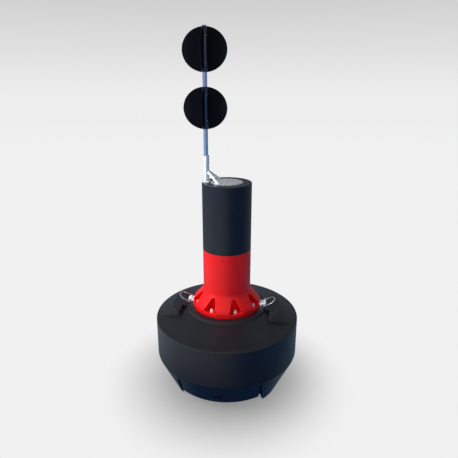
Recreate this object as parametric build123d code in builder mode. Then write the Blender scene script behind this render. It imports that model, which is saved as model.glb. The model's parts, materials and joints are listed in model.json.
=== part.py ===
from build123d import *
import os
from math import cos, radians, sin

os.makedirs("parts", exist_ok=True)

# All sizes are in millimetres. The axis of the buoy is the Z axis, and z = 0 is the floor
# under its feet. The lifting lugs and the topmark mast lie on the X axis.

# Float: an upright drum above a cone, with a low conical deck
float_radius = 750
foot_radius = 570
knuckle_height = 387
rim_height = 785
rim_round = 16
knuckle_round = 20

# Round platform on the deck, the two shoulders that run out to the rim beside it, and the
# level bridges that join them to it under the lifting bails
platform_rise = 119
platform_radius = 416
platform_foot_radius = 428
platform_round = 6
deck_step = 29
shoulder_start = 462
shoulder_level_radius = 560
shoulder_inner_width = 470
shoulder_outer_width = 310
shoulder_corner = 22
shoulder_draft = 12
shoulder_round = 10
bridge_width = 215
bridge_chamfer = 6

# Handling channel between the two feet, and the grooves beside the feet
channel_width = 810
channel_height = 125
channel_round = 25
groove_width = 34
groove_depth = 24
groove_height = 345

# Recesses for the keel fasteners, a pair at the front and a pair at the back
recess_radius = 17
recess_depth = 22
recess_spacing = 43
recess_height = 212

# Tower: two sections of one diameter, the lower with a flared and bolted foot
tower_radius = 245
joint_height = 1532
tower_height = 2213
tower_edge_round = 7
seam_drop = 52
seam_width = 4
seam_depth = 2
flange_radius = 355
flange_thickness = 45
flare_radius = 345
flare_drop = 27
flare_height = 110
flare_foot_round = 14
flare_top_round = 45

# Bolt pockets scooped out of the flare
bolt_count = 8
pocket_floor = 36
pocket_width = 142
pocket_height = 134
pocket_crown = 26
pocket_corner = 8
pocket_lip_round = 5

# Lantern plate let into the tower's top
plate_radius = 157
plate_thickness = 8
plate_stand = 2
plate_gap = 1
lantern_hole_circle = 100
lantern_hole_count = 4
lantern_hole_radius = 6.5
cable_hole_radius = 12

# Topmark mast, its socket and the two braces
mast_offset = 203
mast_radius = 21.2
mast_wall = 2.6
fit_gap = 0.3
socket_radius = 30
socket_height = 257
socket_floor = 14
socket_base_size = 76
socket_base_thickness = 8
brace_radius = 13
brace_joint_height = 118
brace_reach = 157
brace_spread = 35
brace_pad_radius = 24
brace_pad_thickness = 6

# Topmark balls, each of two crossed discs on a sleeve that fits over the mast
ball_radius = 207
ball_half_height = 191
ball_heights = (693, 1198)
disc_thickness = 5
sleeve_radius = 25
sleeve_length = 250
mast_tip = 3
cap_thickness = 5
cap_chamfer = 2

# Lifting lugs with a pin and a swinging bail
lug_width = 67
lug_pin_reach = 400
lug_pin_height = 18
lug_nose_radius = 17
pin_radius = 8
pin_overhang = 4
bail_angle = 27
bail_half_width = 72
bail_length = 120
bail_bar_radius = 7.5
eye_radius = 13
eye_width = 20

# Mooring eye under the float
eye_plate_thickness = 20
eye_plate_radius = 42
eye_plate_drop = 55
mooring_hole_radius = 18
mooring_base_length = 220
mooring_base_width = 140
mooring_base_thickness = 12

platform_height = rim_height + platform_rise
deck_height = platform_height - deck_step
cone_slope = (float_radius - foot_radius) / knuckle_height
plate_top = tower_height + plate_stand
bolt_step = 360 / bolt_count
sides = {"right": 1, "left": -1}


def cone_radius(height):
    return foot_radius + cone_slope * height


def save(part, name):
    part.label = name
    export_step(part, f"parts/{name}.step")


def radius_of(point):
    return (point.X**2 + point.Y**2) ** 0.5


def is_shoulder_lip(edge):
    # True for an upper edge of a shoulder, other than where its level part starts to fall
    middle = edge @ 0.5
    return abs(radius_of(middle) - shoulder_level_radius) > 1 and middle.Z > rim_height + 1


def make_shoulders():
    # Two raised shoulders, level at first and then falling to the rim
    inner = shoulder_inner_width / 2
    outer = shoulder_outer_width / 2
    with BuildPart() as shoulders:
        for side in sides.values():
            with BuildSketch(Plane.XY.offset(platform_height)) as outline:
                with BuildLine():
                    Polyline(
                        (side * shoulder_start, inner),
                        (side * float_radius, outer),
                        (side * float_radius, -outer),
                        (side * shoulder_start, -inner),
                        (side * shoulder_start, inner),
                    )
                make_face()
                fillet(outline.vertices().filter_by(lambda v: abs(v.Y) > inner - 1), shoulder_corner)
            extrude(amount=knuckle_height - platform_height, taper=-shoulder_draft)
        with BuildSketch(Plane.XZ):
            with BuildLine():
                Polyline(
                    (0, knuckle_height),
                    (float_radius - rim_round, knuckle_height),
                    (float_radius - rim_round, rim_height),
                    (shoulder_level_radius, platform_height),
                    (0, platform_height),
                    (0, knuckle_height),
                )
            make_face()
        revolve(axis=Axis.Z, mode=Mode.INTERSECT)
        tops = shoulders.faces().filter_by(lambda f: f.normal_at().Z > 0.5)
        fillet([e for face in tops for e in face.edges() if is_shoulder_lip(e)], shoulder_round)
    return shoulders.part


def make_bridges():
    # A level bridge under each bail, from within the platform to within the shoulder
    with BuildPart() as bridges:
        with BuildSketch(Plane.XZ.offset(-bridge_width / 2)):
            for side in sides.values():
                with Locations((side * (flange_radius + shoulder_level_radius) / 2, rim_height + platform_rise / 2)):
                    Rectangle(shoulder_level_radius - flange_radius, platform_rise)
        extrude(amount=bridge_width)
        lips = bridges.edges().filter_by(Axis.X).group_by(Axis.Z)[-1]
        chamfer(lips, bridge_chamfer)
    return bridges.part


def make_grooves():
    # The four upright grooves on the cone, where the feet meet the front and the back
    with BuildPart() as grooves:
        with BuildSketch(Plane.XZ):
            with BuildLine():
                Polyline(
                    (foot_radius - groove_depth, 0),
                    (float_radius, 0),
                    (float_radius, groove_height),
                    (cone_radius(groove_height) - groove_depth, groove_height),
                    (foot_radius - groove_depth, 0),
                )
            make_face()
        revolve(axis=Axis.Z)
        with BuildSketch():
            with Locations((channel_width / 2, 0), (-channel_width / 2, 0)):
                Rectangle(groove_width, 2 * float_radius)
        extrude(amount=groove_height, mode=Mode.INTERSECT)
    return grooves.part


with BuildPart() as float_body:
    with BuildSketch(Plane.XZ) as profile:
        with BuildLine():
            Polyline(
                (0, 0),
                (foot_radius, 0),
                (float_radius, knuckle_height),
                (float_radius, rim_height),
                (platform_foot_radius, deck_height),
                (platform_radius, platform_height),
                (0, platform_height),
                (0, 0),
            )
        make_face()
        outer = profile.vertices().group_by(Axis.X)[-1].sort_by(Axis.Y)
        fillet(outer[0], knuckle_round)
        outer = profile.vertices().group_by(Axis.X)[-1].sort_by(Axis.Y)
        fillet(outer[-1], rim_round)
        lips = [v for v in profile.vertices() if v.Y > rim_height and 1 < v.X < platform_foot_radius + 1]
        fillet(lips, platform_round)
    revolve(axis=Axis.Z)
    add(make_shoulders())
    add(make_bridges())
    with BuildSketch(Plane.XZ) as channel:
        with Locations((0, channel_height / 2)):
            Rectangle(channel_width, channel_height)
        fillet(channel.vertices().group_by(Axis.Y)[-1], channel_round)
    extrude(amount=float_radius, both=True, mode=Mode.SUBTRACT)
    add(make_grooves(), mode=Mode.SUBTRACT)
    recess_face = cone_radius(recess_height)
    for facing in (Plane.XZ, Plane.XZ.rotated((0, 0, 180))):
        with BuildSketch(facing.offset(recess_face - recess_depth)):
            with Locations((-recess_spacing / 2, recess_height), (recess_spacing / 2, recess_height)):
                Circle(recess_radius)
        extrude(amount=2 * recess_depth, mode=Mode.SUBTRACT)
save(float_body.part, "float")


def make_pockets():
    # One arched niche for each flange bolt, open to the outside, backed by the tower's wall
    start = tower_radius * cos(radians(bolt_step / 2))
    with BuildPart() as pockets:
        for index in range(bolt_count):
            angle = (index + 0.5) * bolt_step
            outward = Vector(cos(radians(angle)), sin(radians(angle)), 0)
            along = (-outward.Y, outward.X, 0)
            origin = outward * start + Vector(0, 0, platform_height + pocket_floor)
            with BuildSketch(Plane(origin=origin, x_dir=along, z_dir=outward)) as arch:
                with BuildLine():
                    Polyline(
                        (-pocket_width / 2, 0),
                        (pocket_width / 2, 0),
                        (0, pocket_height + pocket_crown),
                        (-pocket_width / 2, 0),
                    )
                make_face()
                fillet(arch.vertices().sort_by(Axis.Y)[-1], pocket_crown)
                fillet(arch.vertices().group_by(Axis.Y)[0], pocket_corner)
            extrude(amount=flange_radius + pocket_crown - start)
        Cylinder(tower_radius, 2 * tower_height, mode=Mode.SUBTRACT)
    return pockets.part


def is_pocket_lip(edge):
    # True for the outer edge of a pocket, away from the tower's wall and the flare's own rings
    points = (edge @ 0, edge @ 0.5, edge @ 1)
    if edge.geom_type == GeomType.LINE or min(radius_of(p) for p in points) < tower_radius + 5:
        return False
    low, high = platform_height + pocket_floor - 1, platform_height + pocket_floor + pocket_height
    level = max(p.Z for p in points) - min(p.Z for p in points) < 0.01
    return low < points[1].Z < high and not (level and points[1].Z > low + 2)


with BuildPart() as tower_lower:
    with BuildSketch(Plane.XZ) as profile:
        flange_top = platform_height + flange_thickness
        flare_foot = flange_top + flare_drop
        with BuildLine():
            Polyline(
                (0, platform_height),
                (flange_radius, platform_height),
                (flange_radius, flange_top),
                (flare_radius, flare_foot),
                (tower_radius, flare_foot + flare_height),
                (tower_radius, joint_height),
                (0, joint_height),
                (0, platform_height),
            )
        make_face()
        corners = profile.vertices().filter_by(lambda v: flange_top - 1 < v.Y < flare_foot + 1)
        fillet(corners, flare_foot_round)
        neck = profile.vertices().filter_by(lambda v: abs(v.Y - flare_foot - flare_height) < 1)
        fillet(neck, flare_top_round)
    revolve(axis=Axis.Z)
    add(make_pockets(), mode=Mode.SUBTRACT)
    fillet(tower_lower.edges().filter_by(is_pocket_lip), pocket_lip_round)
    with BuildSketch(Plane.XZ):
        with Locations((tower_radius, joint_height - seam_drop)):
            Rectangle(2 * seam_depth, seam_width)
    revolve(axis=Axis.Z, mode=Mode.SUBTRACT)
save(tower_lower.part, "tower_lower")

with BuildPart() as tower_upper:
    with BuildSketch(Plane.XY.offset(joint_height)):
        Circle(tower_radius)
    extrude(amount=tower_height - joint_height)
    fillet(tower_upper.edges().filter_by(GeomType.CIRCLE).sort_by(Axis.Z)[-1], tower_edge_round)
    with BuildSketch(Plane.XY.offset(tower_height)):
        Circle(plate_radius + plate_gap)
    extrude(amount=plate_stand - plate_thickness, mode=Mode.SUBTRACT)
save(tower_upper.part, "tower_upper")

with BuildPart() as lantern_plate:
    with BuildSketch(Plane.XY.offset(plate_top - plate_thickness)):
        Circle(plate_radius)
        Circle(cable_hole_radius, mode=Mode.SUBTRACT)
        with PolarLocations(lantern_hole_circle, lantern_hole_count):
            Circle(lantern_hole_radius, mode=Mode.SUBTRACT)
    extrude(amount=plate_thickness)
save(lantern_plate.part, "lantern_plate")

socket_plane = Plane(origin=(-mast_offset, 0, tower_height))
with BuildPart() as mast_socket:
    with BuildSketch(socket_plane):
        RectangleRounded(socket_base_size, socket_base_size, socket_base_size / 4)
    extrude(amount=socket_base_thickness)
    with BuildSketch(socket_plane):
        Circle(socket_radius)
    extrude(amount=socket_height)
    with BuildSketch(socket_plane.offset(socket_floor)):
        Circle(mast_radius + fit_gap)
    extrude(amount=socket_height, mode=Mode.SUBTRACT)
save(mast_socket.part, "mast_socket")


def make_brace(side):
    # One tube from the socket's side down to a round pad on the lantern plate
    turn = radians(side * brace_spread)
    foot = Vector(brace_reach * cos(turn) - mast_offset, brace_reach * sin(turn), plate_top)
    head = Vector(-mast_offset, 0, tower_height + brace_joint_height)
    with BuildPart() as brace:
        with BuildSketch(Plane(origin=head, z_dir=foot - head)):
            Circle(brace_radius)
        extrude(amount=(foot - head).length + brace_radius)
        with BuildSketch(Plane(origin=foot)):
            Circle(brace_pad_radius)
        extrude(amount=brace_pad_thickness)
        split(bisect_by=Plane.XY.offset(plate_top), keep=Keep.TOP)
        with BuildSketch(socket_plane):
            Circle(socket_radius + fit_gap)
        extrude(amount=socket_height, mode=Mode.SUBTRACT)
    return brace.part


save(make_brace(-1), "mast_brace_front")
save(make_brace(1), "mast_brace_back")

mast_foot = tower_height + socket_floor
mast_top = tower_height + ball_heights[-1] + ball_half_height + mast_tip
with BuildPart() as mast_tube:
    with BuildSketch(Plane(origin=(-mast_offset, 0, mast_foot))):
        Circle(mast_radius)
        Circle(mast_radius - mast_wall, mode=Mode.SUBTRACT)
    extrude(amount=mast_top - mast_foot)
save(mast_tube.part, "mast_tube")

with BuildPart() as mast_cap:
    with BuildSketch(Plane(origin=(-mast_offset, 0, mast_top))):
        Circle(mast_radius)
    extrude(amount=cap_thickness)
    chamfer(mast_cap.edges().group_by(Axis.Z)[-1], cap_chamfer)
save(mast_cap.part, "mast_cap")


def make_ball(height):
    # Four half discs on a sleeve round the mast, which read as a ball from any side
    with BuildPart() as ball:
        centre = Vector(-mast_offset, 0, tower_height + height)
        for facing in ((0, -1, 0), (1, 0, 0)):
            with BuildSketch(Plane(origin=centre, x_dir=(facing[1], facing[0], 0), z_dir=facing)):
                Ellipse(ball_radius, ball_half_height)
                Rectangle(2 * (mast_radius + fit_gap), 2 * ball_half_height, mode=Mode.SUBTRACT)
            extrude(amount=disc_thickness / 2, both=True)
        with BuildSketch(Plane(origin=centre)):
            Circle(sleeve_radius)
            Circle(mast_radius + fit_gap, mode=Mode.SUBTRACT)
        extrude(amount=sleeve_length / 2, both=True)
    return ball.part


save(make_ball(ball_heights[0]), "topmark_ball_lower")
save(make_ball(ball_heights[1]), "topmark_ball_upper")


def pin_centre(side):
    return Vector(side * lug_pin_reach, 0, platform_height + lug_pin_height)


def make_lug(side):
    # A lug that stands on the platform against the flange, rounded about its pin
    inner = side * (flange_radius + fit_gap)
    reach = side * lug_pin_reach
    centre = pin_centre(side)
    with BuildPart() as lug:
        with BuildSketch(Plane.XZ):
            with BuildLine():
                Polyline(
                    (inner, platform_height),
                    (reach + side * lug_nose_radius, platform_height),
                    (reach + side * lug_nose_radius, centre.Z),
                    (reach, centre.Z + lug_nose_radius),
                    (inner, centre.Z + lug_nose_radius),
                    (inner, platform_height),
                )
            make_face()
            with Locations((reach, centre.Z)):
                Circle(lug_nose_radius)
                Circle(pin_radius + fit_gap, mode=Mode.SUBTRACT)
        extrude(amount=lug_width / 2, both=True)
    return lug.part


def make_pin(side):
    # The pin that crosses the lug and carries both eyes of the bail
    with BuildPart() as pin:
        with BuildSketch(Plane(origin=pin_centre(side), z_dir=(0, 1, 0))):
            Circle(pin_radius)
        extrude(amount=bail_half_width + eye_width / 2 + pin_overhang, both=True)
    return pin.part


def make_bail(side):
    # A U of round bar with an eye at each end, raised from its pin
    lift = radians(bail_angle)
    outward = (side * cos(lift), 0, sin(lift))
    across = Vector(0, 1, 0)
    plane = Plane(origin=pin_centre(side), x_dir=outward, z_dir=Vector(*outward).cross(across))
    straight = bail_length - bail_half_width
    start = (pin_radius + eye_radius) / 2
    with BuildPart() as bail:
        with BuildLine(plane) as path:
            Line((start, bail_half_width), (straight, bail_half_width))
            ThreePointArc(
                (straight, bail_half_width),
                (bail_length, 0),
                (straight, -bail_half_width),
            )
            Line((straight, -bail_half_width), (start, -bail_half_width))
        with BuildSketch(Plane(origin=path.line @ 0, z_dir=path.line % 0)):
            Circle(bail_bar_radius)
        sweep(path=path.line)
        for offset_y in (-bail_half_width, bail_half_width):
            eye_plane = Plane(origin=pin_centre(side) + across * offset_y, z_dir=across)
            with BuildSketch(eye_plane):
                Circle(eye_radius)
            extrude(amount=eye_width / 2, both=True)
        with BuildSketch(Plane(origin=pin_centre(side), z_dir=across)):
            Circle(pin_radius + fit_gap)
        extrude(amount=bail_half_width + eye_width, both=True, mode=Mode.SUBTRACT)
    return bail.part


for name, side in sides.items():
    save(make_lug(side), f"lug_{name}")
    save(make_pin(side), f"lug_pin_{name}")
    save(make_bail(side), f"bail_{name}")

with BuildPart() as mooring_eye:
    with BuildSketch(Plane.XY.offset(channel_height)):
        RectangleRounded(mooring_base_length, mooring_base_width, mooring_base_thickness)
    extrude(amount=-mooring_base_thickness)
    with BuildSketch(Plane.YZ):
        with Locations((0, eye_plate_drop)):
            Circle(eye_plate_radius)
        with Locations((0, (eye_plate_drop + channel_height - mooring_base_thickness) / 2)):
            Rectangle(2 * eye_plate_radius, channel_height - mooring_base_thickness - eye_plate_drop)
        with Locations((0, eye_plate_drop)):
            Circle(mooring_hole_radius, mode=Mode.SUBTRACT)
    extrude(amount=eye_plate_thickness / 2, both=True)
save(mooring_eye.part, "mooring_eye")
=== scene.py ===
import json
import math

import bpy
from mathutils import Matrix, Vector


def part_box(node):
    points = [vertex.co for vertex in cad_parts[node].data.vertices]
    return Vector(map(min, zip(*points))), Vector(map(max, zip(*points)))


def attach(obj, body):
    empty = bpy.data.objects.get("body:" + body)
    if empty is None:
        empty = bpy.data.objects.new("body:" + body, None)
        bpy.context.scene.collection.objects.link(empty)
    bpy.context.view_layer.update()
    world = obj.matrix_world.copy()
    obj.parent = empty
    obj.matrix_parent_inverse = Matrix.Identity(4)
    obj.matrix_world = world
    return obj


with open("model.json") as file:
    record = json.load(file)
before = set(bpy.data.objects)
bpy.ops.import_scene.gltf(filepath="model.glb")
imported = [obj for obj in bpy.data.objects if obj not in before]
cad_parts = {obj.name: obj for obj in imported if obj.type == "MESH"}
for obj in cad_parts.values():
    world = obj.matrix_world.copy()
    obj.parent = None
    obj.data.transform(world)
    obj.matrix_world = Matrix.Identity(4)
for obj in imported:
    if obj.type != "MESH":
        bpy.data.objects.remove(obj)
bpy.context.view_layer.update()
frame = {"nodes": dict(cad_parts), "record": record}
nodes = frame["nodes"]
print("frame loaded:", len(nodes), "nodes")

# Heights and radii that several pieces share, all read from the frame
lowerLow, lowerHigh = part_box("tower_lower")
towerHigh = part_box("tower_upper")[1]
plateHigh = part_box("lantern_plate")[1]
socketLow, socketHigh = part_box("mast_socket")
towerRadius = towerHigh.x
flangeRadius = lowerHigh.x
mastAxis = Vector(((socketLow.x + socketHigh.x) / 2, 0, 0))


# Small helpers for node trees
def addNode(tree, kind, **settings):
    node = tree.nodes.new(kind)
    for key, value in settings.items():
        setattr(node, key, value)
    return node


def feed(tree, socket, value):
    # A socket takes either another socket or a plain value
    if isinstance(value, bpy.types.NodeSocket):
        tree.links.new(value, socket)
    elif value is not None:
        socket.default_value = value


def mathNode(tree, operation, first, second=None, third=None, clamp=False):
    node = addNode(tree, "ShaderNodeMath", operation=operation, use_clamp=clamp)
    for index, value in enumerate((first, second, third)):
        feed(tree, node.inputs[index], value)
    return node.outputs[0]


def vectorNode(tree, operation, first, second=None):
    node = addNode(tree, "ShaderNodeVectorMath", operation=operation)
    feed(tree, node.inputs[0], first)
    feed(tree, node.inputs[1], second)
    return node.outputs["Value" if operation in ("DOT_PRODUCT", "LENGTH") else "Vector"]


def partOf(tree, vector, axis):
    # The X, Y or Z of a vector
    node = addNode(tree, "ShaderNodeSeparateXYZ")
    feed(tree, node.inputs[0], vector)
    return node.outputs[axis]


def product(tree, first, *others):
    for other in others:
        first = mathNode(tree, "MULTIPLY", first, other)
    return first


def rampBetween(tree, value, low, high, fromLevel=0.0, toLevel=1.0, smooth=True):
    kind = "SMOOTHSTEP" if smooth else "LINEAR"
    node = addNode(tree, "ShaderNodeMapRange", interpolation_type=kind)
    levels = {"Value": value, "From Min": low, "From Max": high, "To Min": fromLevel, "To Max": toLevel}
    for name, level in levels.items():
        feed(tree, node.inputs[name], level)
    return node.outputs["Result"]


def mixLevels(tree, share, fromLevel, toLevel):
    # fromLevel where share is 0, toLevel where it is 1
    return rampBetween(tree, share, 0.0, 1.0, fromLevel, toLevel, smooth=False)


def mixColour(tree, factor, first, second, blend="MIX"):
    node = addNode(tree, "ShaderNodeMix", data_type="RGBA", blend_type=blend)
    feed(tree, node.inputs[0], factor)
    for socket, value in ((node.inputs[6], first), (node.inputs[7], second)):
        feed(tree, socket, value if isinstance(value, bpy.types.NodeSocket) else (*value, 1.0))
    return node.outputs[2]


def noise(tree, vector, scale, detail=2.0, roughness=0.5):
    node = addNode(tree, "ShaderNodeTexNoise")
    feed(tree, node.inputs["Vector"], vector)
    for name, value in (("Scale", scale), ("Detail", detail), ("Roughness", roughness)):
        feed(tree, node.inputs[name], value)
    return node.outputs["Fac"]


def stretched(tree, vector, amounts):
    # Scales a pattern's coordinates along X, Y and Z
    node = addNode(tree, "ShaderNodeMapping")
    feed(tree, node.inputs["Vector"], vector)
    node.inputs["Scale"].default_value = amounts
    return node.outputs["Vector"]


# Shared shader groups
def startGroup(name, inputs, outputs):
    tree = bpy.data.node_groups.new(name, "ShaderNodeTree")
    for label, kind, value in inputs:
        socket = tree.interface.new_socket(label, in_out="INPUT", socket_type=kind)
        if value is not None:
            socket.default_value = value
    for label, kind in outputs:
        tree.interface.new_socket(label, in_out="OUTPUT", socket_type=kind)
    return tree, tree.nodes.new("NodeGroupInput").outputs, tree.nodes.new("NodeGroupOutput").inputs


def makeMouldedSkin():
    # Orange peel, fine grain and slow mottling of a moulded skin
    tree, given, out = startGroup(
        "mouldedSkin",
        [
            ("Vector", "NodeSocketVector", None),
            ("Peel Scale", "NodeSocketFloat", 90.0),
            ("Grain Scale", "NodeSocketFloat", 700.0),
            ("Mottle Scale", "NodeSocketFloat", 5.0),
        ],
        [("Height", "NodeSocketFloat"), ("Mottle", "NodeSocketFloat")],
    )
    peel = noise(tree, given["Vector"], given["Peel Scale"], 1.0)
    grain = noise(tree, given["Vector"], given["Grain Scale"], 2.0)
    height = mathNode(tree, "MULTIPLY_ADD", grain, 0.35, peel)
    mottle = noise(tree, given["Vector"], given["Mottle Scale"], 4.0, 0.6)
    feed(tree, out["Height"], height)
    feed(tree, out["Mottle"], rampBetween(tree, mottle, 0.3, 0.7))
    return tree


def makeSettledDust():
    # Dust that lies on what faces up, thicker in broad patches
    tree, given, out = startGroup(
        "settledDust",
        [
            ("Vector", "NodeSocketVector", None),
            ("Normal", "NodeSocketVector", None),
            ("Patch Scale", "NodeSocketFloat", 6.0),
            ("Amount", "NodeSocketFloat", 0.3),
        ],
        [("Mask", "NodeSocketFloat")],
    )
    facing = vectorNode(tree, "DOT_PRODUCT", given["Normal"], (0.0, 0.0, 1.0))
    upward = rampBetween(tree, facing, 0.35, 1.0)
    broad = noise(tree, given["Vector"], given["Patch Scale"], 5.0, 0.65)
    patches = rampBetween(tree, broad, 0.35, 0.75)
    fine = rampBetween(tree, noise(tree, given["Vector"], 160.0, 3.0, 0.7), 0.3, 0.8, 0.6, 1.0)
    feed(tree, out["Mask"], product(tree, upward, patches, fine, given["Amount"]))
    return tree


def makeRunMarks():
    # Pale marks where water has run down a wall
    tree, given, out = startGroup(
        "runMarks",
        [
            ("Vector", "NodeSocketVector", None),
            ("Width Scale", "NodeSocketFloat", 14.0),
            ("Amount", "NodeSocketFloat", 0.3),
        ],
        [("Mask", "NodeSocketFloat")],
    )
    upright = stretched(tree, given["Vector"], (1.0, 1.0, 0.06))
    lines = rampBetween(tree, noise(tree, upright, given["Width Scale"], 5.0, 0.7), 0.52, 0.78)
    broken = rampBetween(tree, noise(tree, given["Vector"], 3.0, 2.0), 0.35, 0.65)
    feed(tree, out["Mask"], product(tree, lines, broken, given["Amount"]))
    return tree


def makeScratches():
    # Short fine scratches in two directions, and the rubbed spots around them
    tree, given, out = startGroup(
        "fineScratches",
        [("Vector", "NodeSocketVector", None), ("Density", "NodeSocketFloat", 30.0)],
        [("Mask", "NodeSocketFloat")],
    )
    total = None
    for turn, stretch in ((0.5, (1.0, 0.03, 1.0)), (2.1, (0.04, 1.0, 1.0))):
        mapping = addNode(tree, "ShaderNodeMapping")
        feed(tree, mapping.inputs["Vector"], given["Vector"])
        mapping.inputs["Rotation"].default_value = (turn, 0.4 * turn, turn)
        thin = stretched(tree, mapping.outputs["Vector"], stretch)
        lines = rampBetween(tree, noise(tree, thin, given["Density"], 3.0, 0.8), 0.66, 0.74)
        total = lines if total is None else mathNode(tree, "MAXIMUM", total, lines)
    area = rampBetween(tree, noise(tree, given["Vector"], 2.5, 2.0), 0.45, 0.65)
    feed(tree, out["Mask"], product(tree, total, area))
    return tree


def makeBrushedSteel():
    # Fine polishing lines along Z, smudges and the height that goes with them
    tree, given, out = startGroup(
        "brushedSteel",
        [
            ("Vector", "NodeSocketVector", None),
            ("Line Scale", "NodeSocketFloat", 500.0),
            ("Smudge Scale", "NodeSocketFloat", 18.0),
        ],
        [("Lines", "NodeSocketFloat"), ("Smudge", "NodeSocketFloat")],
    )
    along = stretched(tree, given["Vector"], (1.0, 1.0, 0.03))
    smudge = noise(tree, given["Vector"], given["Smudge Scale"], 4.0)
    feed(tree, out["Lines"], noise(tree, along, given["Line Scale"], 3.0, 0.6))
    feed(tree, out["Smudge"], rampBetween(tree, smudge, 0.3, 0.7))
    return tree


# Camera, fitted to the photo
cameraSettings = {
    "azimuth": 7.5,  # degrees towards +X from straight in front
    "distance": 4.1136,  # metres from the tower's axis
    "height": 3.118,
    "pitch": 18.647,  # degrees down
    "focalPixels": 429.245,
    "framePixels": 458,
    "axisColumn": 226.93,  # where the tower's axis stands in the photo
}
azimuth = math.radians(cameraSettings["azimuth"])
photoRight = Vector((math.cos(azimuth), math.sin(azimuth), 0.0))
photoForward = Vector((-math.sin(azimuth), math.cos(azimuth), 0.0))


def makeCamera(settings):
    data = bpy.data.cameras.new("camera")
    data.sensor_width = 36.0
    data.lens = data.sensor_width * settings["focalPixels"] / settings["framePixels"]
    middle = settings["framePixels"] / 2
    data.shift_x = (middle - settings["axisColumn"]) / settings["framePixels"]
    data.clip_end = 200.0
    camera = bpy.data.objects.new("camera", data)
    camera.location = -settings["distance"] * photoForward + Vector((0, 0, settings["height"]))
    camera.rotation_euler = (math.radians(90 - settings["pitch"]), 0, math.radians(settings["azimuth"]))
    bpy.context.scene.collection.objects.link(camera)
    bpy.context.scene.camera = camera
    print("camera placed at", [round(c, 3) for c in camera.location])


makeCamera(cameraSettings)


# Studio: a pale floor, a soft room, two soft lamps and two small ones that light single pieces
studio = {
    "brightFrom": 58.0,  # degrees to the left of the camera
    "deepFrom": -35.0,
    "deepSpan": (0.3, 0.8),  # how far a direction points to the deep side
    "shineSpan": (0.1, 0.98),  # and to the pale side, in what shiny parts see
    "roomSpan": (-0.45, 0.75),  # and in what matt parts are lit by
    "backdrop": (1.0, 1.0, 1.0),
    "floorRadius": 40.0,
    "floorColour": (0.34, 0.34, 0.345),
    "floorSeen": (0.93, 0.93, 0.935),
    "floorWhite": (0.2, 1.2),  # metres from the axis over which the floor's own shading fades out
    "floorWhiteAtAxis": 0.6,
    "floorTone": 0.88,
    "footShadowSpan": (0.3, 1.45),  # metres from the axis over which the painted shadow on the floor at the foot fades out
    "footTone": 0.40,
    "farFrom": 12.0,
    "farTone": 0.85,
    "skySpan": (-0.02, 0.2),  # rise above the horizon
    "skyTone": 0.58,
    # What shiny parts see of the floor, from the foot outwards, and of the room
    "footReflection": (0.006, 0.042, 0.15),  # in front
    "sideReflection": (0.12, 0.19, 0.23),  # beside and behind
    "sideSpan": (0.2, 0.9),  # how far a spot lies in front
    "nearReflection": (0.52, 0.55, 0.60),
    "nearSpan": (1.0, 1.95),
    "farReflection": (0.26, 0.48, 1.0),
    "deepReflection": (0.028, 0.125, 0.37),
    "dimReflection": (0.14, 0.19, 0.26),
    "farReflectionSpan": (6.0, 14.0),
    "skyReflection": (0.20, 0.205, 0.235),
    "skyReflectionSpan": (0.0, 0.12),
    # What matt parts are lit by
    "roomPale": (0.88, 0.88, 0.89),
    "roomDeep": (0.045, 0.06, 0.085),
    "roomDim": (0.20, 0.205, 0.22),
}


def makeStudioTone(settings):
    # The room round the object: pale to the front left, deep blue to the right, dim grey behind
    tree, given, out = startGroup(
        "studioTone",
        [
            ("Direction", "NodeSocketVector", None),
            ("Pale", "NodeSocketColor", (0.4, 0.4, 0.42, 1.0)),
            ("Deep", "NodeSocketColor", (0.03, 0.15, 0.45, 1.0)),
            ("Dim", "NodeSocketColor", (0.14, 0.14, 0.15, 1.0)),
            ("From", "NodeSocketFloat", 0.1),
            ("To", "NodeSocketFloat", 0.98),
        ],
        [("Color", "NodeSocketColor")],
    )
    flat = vectorNode(tree, "MULTIPLY", given["Direction"], (1.0, 1.0, 0.0))
    unit = vectorNode(tree, "NORMALIZE", flat)

    def towards(degreesLeft):
        # How far a direction points to this side of the camera, 1 for straight at it
        turn = math.radians(degreesLeft)
        side = -math.cos(turn) * photoForward - math.sin(turn) * photoRight
        return vectorNode(tree, "DOT_PRODUCT", unit, tuple(side))

    deep = rampBetween(tree, towards(settings["deepFrom"]), *settings["deepSpan"])
    base = mixColour(tree, deep, given["Dim"], given["Deep"])
    share = rampBetween(tree, towards(settings["brightFrom"]), given["From"], given["To"])
    feed(tree, out["Color"], mixColour(tree, share, base, given["Pale"]))
    return tree


def shineRay(tree, path):
    # 1 for what a shiny or clear surface sees
    return mathNode(tree, "MAXIMUM", path["Is Glossy Ray"], path["Is Transmission Ray"])


def useTone(tree, toneGroup, direction, colours, span):
    # colours holds the pale, the deep and the dim side of the room
    group = addNode(tree, "ShaderNodeGroup", node_tree=toneGroup)
    feed(tree, group.inputs["Direction"], direction)
    for label, colour in zip(("Pale", "Deep", "Dim"), colours):
        feed(tree, group.inputs[label], (*colour, 1.0))
    for label, level in zip(("From", "To"), span):
        feed(tree, group.inputs[label], level)
    return group.outputs["Color"]


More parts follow.
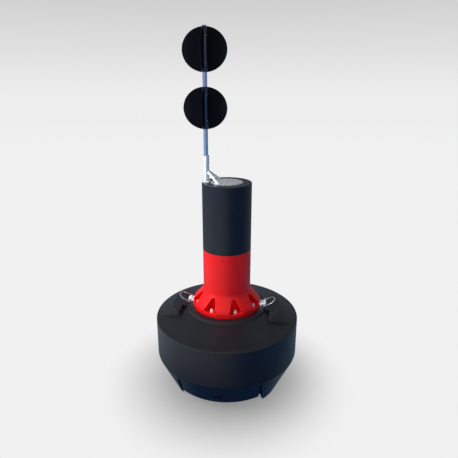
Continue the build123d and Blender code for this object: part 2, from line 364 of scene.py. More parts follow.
def makeWorld(settings, toneGroup):
    world = bpy.data.worlds.new("softRoom")
    bpy.context.scene.world = world
    world.use_nodes = True
    tree = world.node_tree
    tree.nodes.clear()
    direction = addNode(tree, "ShaderNodeTexCoord").outputs["Generated"]
    path = addNode(tree, "ShaderNodeLightPath").outputs
    rise = partOf(tree, direction, "Z")
    tones = (settings["farTone"], settings["skyTone"])
    shade = rampBetween(tree, rise, *settings["skySpan"], *tones, smooth=False)
    seen = mixColour(tree, 1.0, settings["backdrop"], shade, "MULTIPLY")
    room = [settings["room" + side] for side in ("Pale", "Deep", "Dim")]
    soft = useTone(tree, toneGroup, direction, room, settings["roomSpan"])
    mirrored = [settings[side + "Reflection"] for side in ("far", "deep", "dim")]
    low = useTone(tree, toneGroup, direction, mirrored, settings["shineSpan"])
    high = rampBetween(tree, rise, *settings["skyReflectionSpan"])
    shiny = mixColour(tree, high, low, settings["skyReflection"])
    colour = mixColour(tree, shineRay(tree, path), soft, shiny)
    colour = mixColour(tree, path["Is Camera Ray"], colour, seen)
    background = addNode(tree, "ShaderNodeBackground")
    feed(tree, background.inputs["Color"], colour)
    feed(tree, background.inputs["Strength"], 1.0)
    feed(tree, addNode(tree, "ShaderNodeOutputWorld").inputs["Surface"], background.outputs[0])


def makeFloor(settings, toneGroup):
    mesh = bpy.data.meshes.new("floor")
    corners = 96
    radius = settings["floorRadius"]
    turns = [2 * math.pi * k / corners for k in range(corners)]
    ring = [(radius * math.cos(turn), radius * math.sin(turn), 0.0) for turn in turns]
    mesh.from_pydata(ring, [], [tuple(range(corners))])
    floor = bpy.data.objects.new("floor", mesh)
    bpy.context.scene.collection.objects.link(floor)
    material = bpy.data.materials.new("paleFloor")
    material.use_nodes = True
    tree = material.node_tree
    tree.nodes.clear()
    place = addNode(tree, "ShaderNodeTexCoord").outputs["Object"]
    path = addNode(tree, "ShaderNodeLightPath").outputs
    away = vectorNode(tree, "LENGTH", place)  # metres from the tower's axis

    def mixShaders(factor, first, second):
        node = addNode(tree, "ShaderNodeMixShader")
        for socket, value in zip(node.inputs, (factor, first, second)):
            feed(tree, socket, value)
        return node.outputs[0]

    # What the camera sees: lit floor at the foot under a painted shadow round the foot, plain backdrop
    # further out
    fade = product(
        tree,
        rampBetween(tree, away, settings["farFrom"], radius, settings["floorTone"], settings["farTone"]),
        # Painted shadow: the floor darkens towards the foot
        rampBetween(tree, away, *settings["footShadowSpan"], settings["footTone"], 1.0),
    )
    diffuse = addNode(tree, "ShaderNodeBsdfDiffuse")
    seenTone = mixColour(tree, 1.0, settings["floorSeen"], fade, "MULTIPLY")
    floorTone = mixColour(tree, path["Is Camera Ray"], settings["floorColour"], seenTone)
    feed(tree, diffuse.inputs["Color"], floorTone)
    white = addNode(tree, "ShaderNodeEmission")
    feed(tree, white.inputs["Color"], mixColour(tree, 1.0, settings["backdrop"], fade, "MULTIPLY"))
    whiteShare = rampBetween(tree, away, *settings["floorWhite"], settings["floorWhiteAtAxis"], 1.0)
    seen = mixShaders(whiteShare, diffuse.outputs[0], white.outputs[0])

    # What shiny parts see
    nearTone, farTone = [
        useTone(
            tree,
            toneGroup,
            place,
            (settings[side + "Reflection"], settings["deepReflection"], settings["dimReflection"]),
            settings["shineSpan"],
        )
        for side in ("near", "far")
    ]
    facing = vectorNode(tree, "DOT_PRODUCT", vectorNode(tree, "NORMALIZE", place), tuple(-photoForward))
    aside = rampBetween(tree, facing, *settings["sideSpan"], 1.0, 0.0)
    footTone = mixColour(tree, aside, settings["footReflection"], settings["sideReflection"])
    mirrored = mixColour(tree, rampBetween(tree, away, *settings["nearSpan"]), footTone, nearTone)
    far = rampBetween(tree, away, *settings["farReflectionSpan"])
    glow = addNode(tree, "ShaderNodeEmission")
    feed(tree, glow.inputs["Color"], mixColour(tree, far, mirrored, farTone))

    lit = mixShaders(path["Is Camera Ray"], diffuse.outputs[0], seen)
    final = mixShaders(shineRay(tree, path), lit, glow.outputs[0])
    feed(tree, addNode(tree, "ShaderNodeOutputMaterial").inputs["Surface"], final)
    mesh.materials.append(material)


lamps = {
    "key": {
        "size": 2.6,
        "power": 165.0,
        "colour": (1.0, 0.99, 0.97),
        "place": (-4.2, -1.2, 3.6),  # metres to the right, back and up
        "mirrored": False,  # whether shiny parts show it
    },
    "top": {
        "size": 3.0,
        "power": 60.0,
        "colour": (1.0, 1.0, 1.0),
        "place": (-0.8, 1.2, 6.0),
        "mirrored": False,
    },
    "glint": {
        "size": 0.8,
        "power": 75.0,
        "colour": (0.93, 0.98, 1.0),
        "place": (-3.0, -2.2, 2.7),
        "mirrored": True,
        "lights": ("mast_socket", "mast_brace_front", "lug_left"),  # and nothing else
    },
    "spark": {
        "size": 0.6,
        "power": 85.0,
        "colour": (0.90, 0.97, 1.0),
        "place": (1.5, -3.0, 2.2),
        "mirrored": True,
        "lights": ("lug_right", "bail_right"),
    },
}


def makeLamps(settings):
    aim = Vector((0, 0, 1.2))
    for name, lamp in settings.items():
        data = bpy.data.lights.new(name, "AREA")
        data.shape = "DISK"
        data.size = lamp["size"]
        data.energy = lamp["power"]
        data.color = lamp["colour"]
        light = bpy.data.objects.new(name, data)
        right, back, up = lamp["place"]
        light.location = right * photoRight + back * photoForward + Vector((0, 0, up))
        light.rotation_euler = (aim - light.location).to_track_quat("-Z", "Y").to_euler()
        light.visible_glossy = lamp["mirrored"]
        if "lights" in lamp:
            chosen = bpy.data.collections.new(name + "Lights")
            for node in lamp["lights"]:
                chosen.objects.link(nodes[node])
            light.light_linking.receiver_collection = chosen
        bpy.context.scene.collection.objects.link(light)


toneGroup = makeStudioTone(studio)
makeWorld(studio, toneGroup)
makeFloor(studio, toneGroup)
makeLamps(lamps)
bpy.context.scene.view_settings.view_transform = "Standard"
print("studio ready")


# Materials
skinGroup = makeMouldedSkin()
dustGroup = makeSettledDust()
runGroup = makeRunMarks()
scratchGroup = makeScratches()
steelGroup = makeBrushedSteel()


def startMaterial(name, **fixed):
    # fixed holds what is the same all over, set on the shader's own sockets
    material = bpy.data.materials.new(name)
    material.use_nodes = True
    tree = material.node_tree
    shader = tree.nodes["Principled BSDF"]
    for label, value in fixed.items():
        shader.inputs[label].default_value = value
    place = addNode(tree, "ShaderNodeTexCoord").outputs["Object"]
    return material, tree, shader, place


def useGroup(tree, group, **inputs):
    node = addNode(tree, "ShaderNodeGroup", node_tree=group)
    for label, value in inputs.items():
        feed(tree, node.inputs[label.replace("_", " ")], value)
    return node.outputs


def bump(tree, height, distance, strength=1.0):
    node = addNode(tree, "ShaderNodeBump")
    feed(tree, node.inputs["Height"], height)
    feed(tree, node.inputs["Distance"], distance)
    feed(tree, node.inputs["Strength"], strength)
    return node.outputs["Normal"]


blackSkin = {
    "base": (0.0080, 0.0098, 0.0140),
    "light": (0.0105, 0.0125, 0.0175),
    "dust": (0.11, 0.108, 0.10),
    "rubbed": 0.16,  # how far sloping faces are rubbed pale
    "roughLow": 0.27,
    "roughHigh": 0.37,
    "peelHeight": 0.0006,
}
redSkin = {
    "base": (0.84, 0.0022, 0.0040),
    "light": (0.88, 0.0042, 0.0060),
    "dust": (0.86, 0.16, 0.14),
    "rubbed": 0.0,
    "roughLow": 0.26,
    "roughHigh": 0.36,
    "peelHeight": 0.0006,
}
plasticWear = {
    "dust": 0.05,
    "runs": 0.035,
    "slopeFrom": (0.12, 0.2),  # how far a face looks up where rubbing sets in
    "slopeTo": (0.6, 0.9),  # and where it ends
    "filmRough": 2.0,
    "scratchRough": 0.08,
}


def makePlastic(name, tones, wear):
    material, tree, shader, place = startMaterial(name, **{"Specular IOR Level": 0.5, "IOR": 1.5})
    skin = useGroup(tree, skinGroup, Vector=place, Peel_Scale=80.0, Grain_Scale=650.0, Mottle_Scale=4.0)
    normal = addNode(tree, "ShaderNodeNewGeometry").outputs["Normal"]
    dust = useGroup(tree, dustGroup, Vector=place, Normal=normal, Patch_Scale=5.0, Amount=wear["dust"])
    runs = useGroup(tree, runGroup, Vector=place, Width_Scale=16.0, Amount=wear["runs"])
    scratches = useGroup(tree, scratchGroup, Vector=place, Density=26.0)
    facing = vectorNode(tree, "DOT_PRODUCT", normal, (0.0, 0.0, 1.0))
    rubbed = product(
        tree,
        rampBetween(tree, facing, *wear["slopeFrom"]),
        rampBetween(tree, facing, *wear["slopeTo"], 1.0, 0.0),
        tones["rubbed"],
    )
    film = mathNode(tree, "MAXIMUM", mathNode(tree, "MAXIMUM", dust["Mask"], runs["Mask"]), rubbed)
    colour = mixColour(tree, skin["Mottle"], tones["base"], tones["light"])
    feed(tree, shader.inputs["Base Color"], mixColour(tree, film, colour, tones["dust"]))
    rough = mixLevels(tree, skin["Mottle"], tones["roughLow"], tones["roughHigh"])
    rough = mathNode(tree, "MULTIPLY_ADD", film, wear["filmRough"], rough)
    rough = mathNode(tree, "MULTIPLY_ADD", scratches["Mask"], wear["scratchRough"], rough, clamp=True)
    feed(tree, shader.inputs["Roughness"], rough)
    feed(tree, shader.inputs["Normal"], bump(tree, skin["Height"], tones["peelHeight"]))
    return material


steel = {
    "dark": (0.74, 0.75, 0.78),
    "light": (0.86, 0.87, 0.90),
    "ballShadeTone": (0.17, 0.17, 0.18),  # painted shade: the mast's steel inside the balls, darkened for the shade and dark reflections of the fins round it
    "mastReach": 0.024,  # a little more than the mast's radius
    "roughLow": 0.34,
    "roughHigh": 0.46,
    "lineRough": 0.08,
}


def fromMast(tree, place):
    # Distance from the mast's axis
    offset = vectorNode(tree, "SUBTRACT", place, tuple(mastAxis))
    return vectorNode(tree, "LENGTH", vectorNode(tree, "MULTIPLY", offset, (1.0, 1.0, 0.0)))


def insideBalls(tree, place, reach):
    # 1 on the mast between the ends of either ball
    height = partOf(tree, place, "Z")
    spans = []
    for ball in ("lower", "upper"):
        low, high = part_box("topmark_ball_" + ball)
        spans.append(mathNode(tree, "COMPARE", height, (low.z + high.z) / 2, (high.z - low.z) / 2))
    onMast = mathNode(tree, "LESS_THAN", fromMast(tree, place), reach)
    return product(tree, onMast, mathNode(tree, "MAXIMUM", *spans))


def makeStainless(name, tones):
    material, tree, shader, place = startMaterial(name, Metallic=1.0)
    brushed = useGroup(tree, steelGroup, Vector=place, Line_Scale=420.0, Smudge_Scale=16.0)
    colour = mixColour(tree, brushed["Smudge"], tones["dark"], tones["light"])
    # Painted shade: the mast turns dark between the ends of either ball, where the fins shade it
    ballShadeMask = insideBalls(tree, place, tones["mastReach"])
    feed(tree, shader.inputs["Base Color"], mixColour(tree, ballShadeMask, colour, tones["ballShadeTone"]))
    rough = mixLevels(tree, brushed["Smudge"], tones["roughHigh"], tones["roughLow"])
    rough = mathNode(tree, "MULTIPLY_ADD", brushed["Lines"], tones["lineRough"], rough)
    feed(tree, shader.inputs["Roughness"], rough)
    feed(tree, shader.inputs["Normal"], bump(tree, brushed["Lines"], 0.00008))
    return material


zincTones = {
    "dark": (0.88, 0.93, 0.97),
    "light": (0.97, 0.99, 1.0),
    "spangle": 70.0,
    "dullMetal": 0.25,
    "brightMetal": 0.75,  # on the socket's tube and the brace behind it
    "tubeRadius": 0.0303,
    "roughDull": 0.62,
    "roughBright": 0.42,
}


def makeGalvanised(name, tones):
    # Zinc with the spangle and dull patches of hot dipping
    material, tree, shader, place = startMaterial(name)
    tube = mathNode(tree, "LESS_THAN", fromMast(tree, place), tones["tubeRadius"])
    above = mathNode(tree, "GREATER_THAN", partOf(tree, place, "Z"), towerHigh.z)
    behind = mathNode(tree, "GREATER_THAN", partOf(tree, place, "Y"), 0.0)
    bright = mathNode(tree, "MAXIMUM", tube, product(tree, above, behind))
    metal = mixLevels(tree, bright, tones["dullMetal"], tones["brightMetal"])
    feed(tree, shader.inputs["Metallic"], metal)
    cells = addNode(tree, "ShaderNodeTexVoronoi")
    feed(tree, cells.inputs["Vector"], place)
    feed(tree, cells.inputs["Scale"], tones["spangle"])
    parts = addNode(tree, "ShaderNodeSeparateColor")
    feed(tree, parts.inputs[0], cells.outputs["Color"])
    patch = product(tree, parts.outputs[0], noise(tree, place, 9.0, 4.0))
    rough = rampBetween(tree, patch, 0.0, 0.7, tones["roughDull"], tones["roughBright"])
    feed(tree, shader.inputs["Base Color"], mixColour(tree, patch, tones["dark"], tones["light"]))
    feed(tree, shader.inputs["Roughness"], rough)
    feed(tree, shader.inputs["Normal"], bump(tree, noise(tree, place, 140.0, 3.0), 0.0002))
    return material


plateTones = {
    "dark": (0.40, 0.42, 0.455),
    "light": (0.76, 0.80, 0.83),
    "speckle": 95.0,
    "paintedLightSpan": (-0.11, 0.13),  # along X, from the side at the mast, painted lighter as if lit, to the side painted darker as if shaded
    "shares": (0.3, 0.12, 0.58),  # of the speckle, the broad patches and the painted light on the side at the mast
    "roughDull": 0.62,
    "roughBright": 0.45,
}


def makePlateMetal(name, tones):
    # Blasted aluminium with a coarse speckle, and painted light: paler on the side at the mast, darker
    # away from it
    material, tree, shader, place = startMaterial(name, Metallic=0.35)
    coarse = rampBetween(tree, noise(tree, place, tones["speckle"], 4.0, 0.7), 0.35, 0.65)
    broad = rampBetween(tree, noise(tree, place, 14.0, 3.0), 0.3, 0.7)
    # Painted light: 1 on the side at the mast, falling to 0 across the plate
    paintedLit = rampBetween(tree, partOf(tree, place, "X"), *tones["paintedLightSpan"], 1.0, 0.0, smooth=False)
    total = 0.0
    for pattern, share in zip((coarse, broad, paintedLit), tones["shares"]):
        total = mathNode(tree, "MULTIPLY_ADD", pattern, share, total)
    rough = rampBetween(tree, coarse, 0.0, 1.0, tones["roughDull"], tones["roughBright"])
    feed(tree, shader.inputs["Base Color"], mixColour(tree, total, tones["dark"], tones["light"]))
    feed(tree, shader.inputs["Roughness"], rough)
    feed(tree, shader.inputs["Normal"], bump(tree, coarse, 0.0004))
    return material


topmarkTones = {
    "base": (0.0016, 0.0018, 0.0022),
    "light": (0.0028, 0.0030, 0.0036),
    "sleeve": (0.185, 0.175, 0.17),  # dark metal of the sleeve round the mast
    "sleeveRough": 0.2,
    "sleeveRadius": 0.0256,
    "rimSpan": (0.12, 0.21),  # distances from the mast between which handling has polished the sheet
    "rimGloss": 0.3,
    "roughLow": 0.42,
    "roughHigh": 0.55,
}


def makeTopmark(name, tones):
    # Matt sheet with a light sanding texture, on a dark metal sleeve
    plain = {"Specular IOR Level": 0.14, "Coat Roughness": 0.22}
    material, tree, shader, place = startMaterial(name, **plain)
    away = fromMast(tree, place)
    sleeve = mathNode(tree, "LESS_THAN", away, tones["sleeveRadius"])
    gloss = rampBetween(tree, away, *tones["rimSpan"], 0.0, tones["rimGloss"])
    feed(tree, shader.inputs["Metallic"], sleeve)
    feed(tree, shader.inputs["Coat Weight"], gloss)
    skin = useGroup(tree, skinGroup, Vector=place, Peel_Scale=220.0, Grain_Scale=900.0, Mottle_Scale=7.0)
    sheet = mixColour(tree, skin["Mottle"], tones["base"], tones["light"])
    feed(tree, shader.inputs["Base Color"], mixColour(tree, sleeve, sheet, tones["sleeve"]))
    matt = rampBetween(tree, skin["Mottle"], 0.0, 1.0, tones["roughLow"], tones["roughHigh"])
    feed(tree, shader.inputs["Roughness"], mixLevels(tree, sleeve, matt, tones["sleeveRough"]))
    feed(tree, shader.inputs["Normal"], bump(tree, skin["Height"], 0.0003))
    return material


finishes = {
    "black_plastic": makePlastic("blackPlastic", blackSkin, plasticWear),
    "red_plastic": makePlastic("redPlastic", redSkin, plasticWear),
    "plate_metal": makePlateMetal("plateMetal", plateTones),
    "stainless": makeStainless("stainlessSteel", steel),
    "topmark_black": makeTopmark("topmarkBlack", topmarkTones),
    "galvanised": makeGalvanised("hotDipZinc", zincTones),
}


def dressNodes():
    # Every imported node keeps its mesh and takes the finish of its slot
    for row in frame["record"]["subparts"]:
        mesh = nodes[row["node"]].data
        mesh.materials.clear()
        mesh.materials.append(finishes[row["material_slot"]])
        for face in mesh.polygons:
            face.material_index = 0


dressNodes()
print("finishes placed on", len(nodes), "nodes")


# Geometry Nodes trees for what repeats
def startGeometry(name, inputs):
    tree = bpy.data.node_groups.new(name, "GeometryNodeTree")
    for label, kind, value in inputs:
        socket = tree.interface.new_socket(label, in_out="INPUT", socket_type=kind)
        if value is not None:
            socket.default_value = value
    tree.interface.new_socket("Geometry", in_out="OUTPUT", socket_type="NodeSocketGeometry")
    return tree, tree.nodes.new("NodeGroupInput").outputs, tree.nodes.new("NodeGroupOutput").inputs


def endGeometry(tree, geometry, given, out):
    # Turns and places the result, makes it real and gives it its finish
    placed = addNode(tree, "GeometryNodeTransform")
    feed(tree, placed.inputs["Geometry"], geometry)
    feed(tree, placed.inputs["Translation"], given["Place"])
    feed(tree, placed.inputs["Rotation"], given["Turn"])
    real = addNode(tree, "GeometryNodeRealizeInstances")
    feed(tree, real.inputs["Geometry"], placed.outputs["Geometry"])
    finish = addNode(tree, "GeometryNodeSetMaterial")
    feed(tree, finish.inputs["Geometry"], real.outputs["Geometry"])
    feed(tree, finish.inputs["Material"], given["Finish"])
    feed(tree, out["Geometry"], finish.outputs["Geometry"])


placeInputs = [
    ("Place", "NodeSocketVector", None),
    ("Turn", "NodeSocketRotation", None),
    ("Finish", "NodeSocketMaterial", None),
]


def moved(tree, geometry, offset):
    node = addNode(tree, "GeometryNodeTransform")
    feed(tree, node.inputs["Geometry"], geometry)
    feed(tree, node.inputs["Translation"], offset)
    return node.outputs["Geometry"]


def upBy(tree, height):
    node = addNode(tree, "ShaderNodeCombineXYZ")
    feed(tree, node.inputs["Z"], height)
    return node.outputs[0]


def drum(tree, sides, radius, height, base):
    # A closed cylinder that stands on the height base
    node = addNode(tree, "GeometryNodeMeshCylinder")
    feed(tree, node.inputs["Vertices"], sides)
    feed(tree, node.inputs["Radius"], radius)
    feed(tree, node.inputs["Depth"], height)
    middle = mathNode(tree, "MULTIPLY_ADD", height, 0.5, base)
    return moved(tree, node.outputs["Mesh"], upBy(tree, middle))


def makeFastenerTree():
    # A ring of bolts or screws, each a washer and a head with a chamfered crown
    tree, given, out = startGeometry(
        "fastenerRing",
        [
            ("Count", "NodeSocketInt", 8),
            ("Ring Radius", "NodeSocketFloat", 0.3),
            ("Start Angle", "NodeSocketFloat", 0.0),
            ("Sides", "NodeSocketInt", 6),
            ("Head Radius", "NodeSocketFloat", 0.0139),
            ("Head Height", "NodeSocketFloat", 0.010),
            ("Crown Height", "NodeSocketFloat", 0.0015),
            ("Washer Radius", "NodeSocketFloat", 0.015),
            ("Washer Height", "NodeSocketFloat", 0.003),
            ("Seed", "NodeSocketInt", 1),
            *placeInputs,
        ],
    )
    washer = drum(tree, 40, given["Washer Radius"], given["Washer Height"], 0.0)
    head = drum(tree, given["Sides"], given["Head Radius"], given["Head Height"], given["Washer Height"])
    crown = addNode(tree, "GeometryNodeMeshCone")
    feed(tree, crown.inputs["Vertices"], given["Sides"])
    feed(tree, crown.inputs["Radius Bottom"], given["Head Radius"])
    feed(tree, crown.inputs["Radius Top"], product(tree, given["Head Radius"], 0.86))
    feed(tree, crown.inputs["Depth"], given["Crown Height"])
    top = mathNode(tree, "ADD", given["Washer Height"], given["Head Height"])
    crownPlaced = moved(tree, crown.outputs["Mesh"], upBy(tree, top))
    whole = addNode(tree, "GeometryNodeJoinGeometry")
    for piece in (washer, head, crownPlaced):
        tree.links.new(piece, whole.inputs["Geometry"])

    points = addNode(tree, "GeometryNodePoints")
    feed(tree, points.inputs["Count"], given["Count"])
    index = addNode(tree, "GeometryNodeInputIndex").outputs[0]
    step = mathNode(tree, "DIVIDE", 2 * math.pi, given["Count"])
    angle = mathNode(tree, "MULTIPLY_ADD", index, step, given["Start Angle"])
    spot = addNode(tree, "ShaderNodeCombineXYZ")
    for axis, wave in (("X", "COSINE"), ("Y", "SINE")):
        feed(tree, spot.inputs[axis], product(tree, mathNode(tree, wave, angle), given["Ring Radius"]))
    feed(tree, points.inputs["Position"], spot.outputs[0])
    random = addNode(tree, "FunctionNodeRandomValue", data_type="FLOAT")
    feed(tree, random.inputs[2], 0.0)
    feed(tree, random.inputs[3], 2 * math.pi)
    feed(tree, random.inputs["Seed"], given["Seed"])
    spin = upBy(tree, random.outputs[1])
    onPoints = addNode(tree, "GeometryNodeInstanceOnPoints")
    feed(tree, onPoints.inputs["Points"], points.outputs[0])
    feed(tree, onPoints.inputs["Instance"], whole.outputs[0])
    feed(tree, onPoints.inputs["Rotation"], spin)
    endGeometry(tree, onPoints.outputs[0], given, out)
    return tree


def makeWeldTree():
    # A rippled bead round a tube's end, where it meets a flat plate or leans against a round post
    tree, given, out = startGeometry(
        "weldBead",
        [
            ("Tube Radius", "NodeSocketFloat", 0.03),
            ("Post Radius", "NodeSocketFloat", 0.0),
            ("Lean", "NodeSocketFloat", math.pi / 2),
            ("Bead", "NodeSocketFloat", 0.003),
            ("Ripple", "NodeSocketFloat", 0.0006),
            ("Points", "NodeSocketInt", 160),
            ("Seed", "NodeSocketInt", 1),
            *placeInputs,
        ],
    )
    path = addNode(tree, "GeometryNodeCurvePrimitiveCircle")
    feed(tree, path.inputs["Resolution"], given["Points"])
    feed(tree, path.inputs["Radius"], given["Tube Radius"])
    position = addNode(tree, "GeometryNodeInputPosition").outputs[0]
    across = partOf(tree, position, "Y")
    acrossSquare = product(tree, across, across)
    postSquare = product(tree, given["Post Radius"], given["Post Radius"])
    depth = mathNode(tree, "MAXIMUM", mathNode(tree, "SUBTRACT", postSquare, acrossSquare), 0.0)
    leanCosine = mathNode(tree, "COSINE", given["Lean"])
    leanSine = mathNode(tree, "SINE", given["Lean"])
    reach = mathNode(tree, "SQRT", depth)
    reach = mathNode(tree, "MULTIPLY_ADD", partOf(tree, position, "X"), leanCosine, reach)
    lift = mathNode(tree, "DIVIDE", reach, leanSine)
    random = addNode(tree, "FunctionNodeRandomValue", data_type="FLOAT")
    feed(tree, random.inputs[2], 0.0)
    feed(tree, random.inputs[3], given["Ripple"])
    feed(tree, random.inputs["Seed"], given["Seed"])
    saddle = addNode(tree, "GeometryNodeSetPosition")
    feed(tree, saddle.inputs["Geometry"], path.outputs[0])
    feed(tree, saddle.inputs["Offset"], upBy(tree, mathNode(tree, "ADD", lift, random.outputs[1])))
    profile = addNode(tree, "GeometryNodeCurvePrimitiveCircle")
    feed(tree, profile.inputs["Resolution"], 10)
    feed(tree, profile.inputs["Radius"], given["Bead"])
    tube = addNode(tree, "GeometryNodeCurveToMesh")
    feed(tree, tube.inputs["Curve"], saddle.outputs[0])
    feed(tree, tube.inputs["Profile Curve"], profile.outputs[0])
    endGeometry(tree, tube.outputs[0], given, out)
    return tree


def growPiece(name, tree, values, body, slotName):
    # Runs a tree once with these values and keeps the result as a plain mesh
    carrier = bpy.data.objects.new(name + "Source", bpy.data.meshes.new(name + "Source"))
    bpy.context.scene.collection.objects.link(carrier)
    modifier = carrier.modifiers.new("nodes", "NODES")
    modifier.node_group = tree
    values = {**values, "Finish": finishes[slotName]}
    for item in tree.interface.items_tree:
        if item.item_type == "SOCKET" and item.in_out == "INPUT" and item.name in values:
            modifier[item.identifier] = values[item.name]
    bpy.context.view_layer.update()
    mesh = bpy.data.meshes.new_from_object(carrier.evaluated_get(bpy.context.evaluated_depsgraph_get()))
    carrier.modifiers.remove(modifier)
    bpy.data.objects.remove(carrier)
    for face in mesh.polygons:
        face.use_smooth = True
    mesh.set_sharp_from_angle(angle=math.radians(38))
    mesh.name = name
    piece = bpy.data.objects.new(name, mesh)
    bpy.context.scene.collection.objects.link(piece)
    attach(piece, body)
    return piece


fastenerTree = makeFastenerTree()
weldTree = makeWeldTree()

# Turns that point a fastener's head to the front, to the back or down
toFront = (math.pi / 2, 0.0, 0.0)
toBack = (-math.pi / 2, 0.0, 0.0)
downwards = (math.pi, 0.0, 0.0)


def outwards(angle):
    # Turn for a head that points away from the Z axis at this angle
    return (math.pi / 2, 0.0, angle + math.pi / 2)


def addFasteners(name, values, slotName="stainless"):
    return growPiece(name, fastenerTree, values, "buoy", slotName)


def headSize(headRadius, headHeight, washerRadius, washerHeight, crownHeight=0.001):
    # A head's sizes under the names that the tree's inputs have, all in metres
    return {
        "Head Radius": headRadius,
        "Head Height": headHeight,
        "Crown Height": crownHeight,
        "Washer Radius": washerRadius,
        "Washer Height": washerHeight,
    }


flangeBolts = {
    "head": headSize(0.0139, 0.0155, 0.0165, 0.003, 0.009),
    "count": 8,
    "ringRadius": 0.312,
    "startAngle": 23.0,  # degrees from the X axis
    "seat": 0.036,  # height of the pockets' floors over the flange's foot
}
addFasteners(
    "flangeBolts",
    {
        **flangeBolts["head"],
        "Count": flangeBolts["count"],
        "Ring Radius": flangeBolts["ringRadius"],
        "Start Angle": math.radians(flangeBolts["startAngle"]),
        "Seed": 4,
        "Place": (0.0, 0.0, lowerLow.z + flangeBolts["seat"]),
    },
    "galvanised",
)

plateScrews = {
    "head": headSize(0.0052, 0.0016, 0.0062, 0.0006),
    "count": 6,
    "ringRadius": 0.143,
    "startAngle": 30.0,
    "sides": 28,
}
addFasteners(
    "plateScrews",
    {
        **plateScrews["head"],
        "Count": plateScrews["count"],
        "Ring Radius": plateScrews["ringRadius"],
        "Start Angle": math.radians(plateScrews["startAngle"]),
        "Sides": plateScrews["sides"],
        "Place": (0.0, 0.0, plateHigh.z),
    },
)

bracket = {
    "bolt": headSize(0.0054, 0.004, 0.0062, 0.001, 0.0008),
    "padScrew": headSize(0.0036, 0.003, 0.0042, 0.0006, 0.0006),
    "socketBead": 0.0028,
    "socketBeadGap": 0.0005,
    "braceBead": 0.0022,
    "braceBeadPoints": 120,
    "baseThickness": 0.008,
    "boltRing": 0.0395,
    "socketRadius": 0.030,
    "braceRadius": 0.013,
    "braceHeight": 0.118,  # of the braces' heads above the tower's top
    "braceReach": 0.157,
    "braceSpread": 35.0,  # degrees from the X axis to each brace, seen from above
    "padThickness": 0.006,
    "padScrewRing": 0.0186,
}


def finishBracket(sizes):
    baseTop = socketLow.z + sizes["baseThickness"]
    addFasteners(
        "socketBolts",
        {
            **sizes["bolt"],
            "Count": 4,
            "Ring Radius": sizes["boltRing"],
            "Start Angle": math.pi / 4,
            "Seed": 2,
            "Place": (mastAxis.x, 0.0, baseTop),
        },
    )
    weld = {
        "Tube Radius": sizes["socketRadius"] + sizes["socketBeadGap"],
        "Bead": sizes["socketBead"],
        "Seed": 7,
        "Place": (mastAxis.x, 0.0, baseTop),
    }
    growPiece("socketWeld", weldTree, weld, "buoy", "galvanised")
    head = mastAxis + Vector((0, 0, socketLow.z + sizes["braceHeight"]))
    for name, side in (("Front", -1), ("Back", 1)):
        turn = math.radians(side * sizes["braceSpread"])
        along = Vector((math.cos(turn), math.sin(turn), 0.0))
        foot = mastAxis + sizes["braceReach"] * along + Vector((0, 0, plateHigh.z))
        padScrews = {
            **sizes["padScrew"],
            "Count": 2,
            "Ring Radius": sizes["padScrewRing"],
            "Start Angle": turn + math.pi / 2,
            "Place": tuple(foot + Vector((0, 0, sizes["padThickness"]))),
        }
        addFasteners("padScrews" + name, padScrews)
        axis = (foot - head).normalized()
        upright = (Vector((0, 0, 1)) - axis.z * axis).normalized()
        frameTurn = Matrix((upright, axis.cross(upright), axis)).transposed().to_euler()
        saddleWeld = {
            "Tube Radius": sizes["braceRadius"],
            "Post Radius": sizes["socketRadius"],
            "Lean": math.acos(axis.z),
            "Bead": sizes["braceBead"],
            "Points": sizes["braceBeadPoints"],
            "Seed": 9,
            "Place": tuple(head),
            "Turn": tuple(frameTurn),
        }
        growPiece("braceWeld" + name, weldTree, saddleWeld, "buoy", "galvanised")


finishBracket(bracket)

sleeveScrews = {
    "head": headSize(0.0042, 0.003, 0.0046, 0.0012, 0.0006),
    "fromMiddle": 0.112,  # height over and under each ball's middle
    "sleeveRadius": 0.025,
    "angle": -45.0,
}
screwAngle = math.radians(sleeveScrews["angle"])
for ball in ("lower", "upper"):
    ballLow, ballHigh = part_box("topmark_ball_" + ball)
    for end, side in (("Low", -1), ("High", 1)):
        reach = sleeveScrews["sleeveRadius"] * Vector((math.cos(screwAngle), math.sin(screwAngle), 0.0))
        height = (ballLow.z + ballHigh.z) / 2 + side * sleeveScrews["fromMiddle"]
        addFasteners(
            "sleeveScrew" + ball.capitalize() + end,
            {
                **sleeveScrews["head"],
                "Count": 1,
                "Ring Radius": 0.0,
                "Place": tuple(mastAxis + reach + Vector((0, 0, height))),
                "Turn": outwards(screwAngle),
            },
        )

ventScrew = {"head": headSize(0.0060, 0.003, 0.0085, 0.0015), "angle": -83.0, "drop": 0.023}
ventAngle = math.radians(ventScrew["angle"])
addFasteners(
    "ventScrew",
    {
        **ventScrew["head"],
        "Count": 1,
        "Ring Radius": 0.0,
        "Place": (
            towerRadius * math.cos(ventAngle),
            towerRadius * math.sin(ventAngle),
            towerHigh.z - ventScrew["drop"],
        ),
        "Turn": outwards(ventAngle),
    },
    "black_plastic",
)

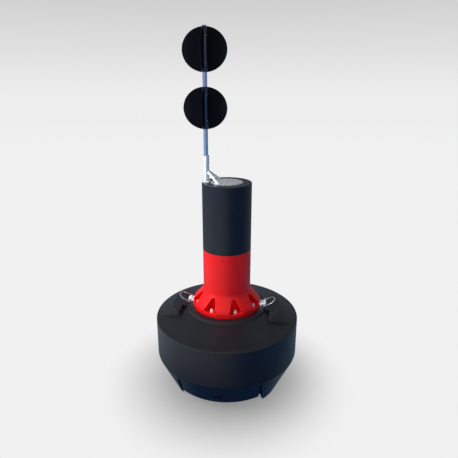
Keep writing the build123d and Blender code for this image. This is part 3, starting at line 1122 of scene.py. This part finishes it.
lugFittings = {
    "bolt": headSize(0.0075, 0.006, 0.0098, 0.0018),
    "boltInset": 0.018,
    "boltSpread": 0.019,
    "pinHead": headSize(0.0105, 0.0032, 0.0123, 0.002),
    "pinHeadSides": 32,
    "eyeGap": 0.0037,
}
for name, side in (("Right", 1), ("Left", -1)):
    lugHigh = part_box("lug_" + name.lower())[1]
    addFasteners(
        "lugBolts" + name,
        {
            **lugFittings["bolt"],
            "Count": 2,
            "Ring Radius": lugFittings["boltSpread"],
            "Start Angle": math.pi / 2,
            "Seed": 5,
            "Place": (side * (flangeRadius + lugFittings["boltInset"]), 0.0, lugHigh.z),
        },
    )
    pinLow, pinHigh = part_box("lug_pin_" + name.lower())
    gap = lugFittings["eyeGap"]
    for end, turn, level in (("Front", toFront, pinLow.y + gap), ("Back", toBack, pinHigh.y - gap)):
        addFasteners(
            "pinHead" + name + end,
            {
                **lugFittings["pinHead"],
                "Count": 1,
                "Ring Radius": 0.0,
                "Sides": lugFittings["pinHeadSides"],
                "Place": ((pinLow.x + pinHigh.x) / 2, level, (pinLow.z + pinHigh.z) / 2),
                "Turn": turn,
            },
        )

# Painted shade: the keel bolts take the near-black topmark finish, so that they read as dark shaded
# holes
keelBolts = {
    "head": headSize(0.0105, 0.009, 0.0160, 0.0025),
    "spacing": 0.043,
    "height": 0.212,
    "floorReach": 0.6466,  # from the axis to the floors of the recesses
}
for name, turn, side in (("Front", toFront, -1), ("Back", toBack, 1)):
    addFasteners(
        "keelBolts" + name,
        {
            **keelBolts["head"],
            "Count": 2,
            "Ring Radius": keelBolts["spacing"] / 2,
            "Seed": 3,
            "Place": (0.0, side * keelBolts["floorReach"], keelBolts["height"]),
            "Turn": turn,
        },
        "topmark_black",
    )

mooringBolts = {
    "head": headSize(0.0120, 0.009, 0.0160, 0.0025),
    "reach": 0.0975,
    "angle": 32.0,  # degrees from the X axis to either pair
    "plateThickness": 0.012,
}
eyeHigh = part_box("mooring_eye")[1]
for name, side in (("One", 1), ("Two", -1)):
    addFasteners(
        "mooringBolts" + name,
        {
            **mooringBolts["head"],
            "Count": 2,
            "Ring Radius": mooringBolts["reach"],
            "Start Angle": side * math.radians(mooringBolts["angle"]),
            "Seed": 6,
            "Place": (0.0, 0.0, eyeHigh.z - mooringBolts["plateThickness"]),
            "Turn": downwards,
        },
    )
print("fasteners and welds grown")
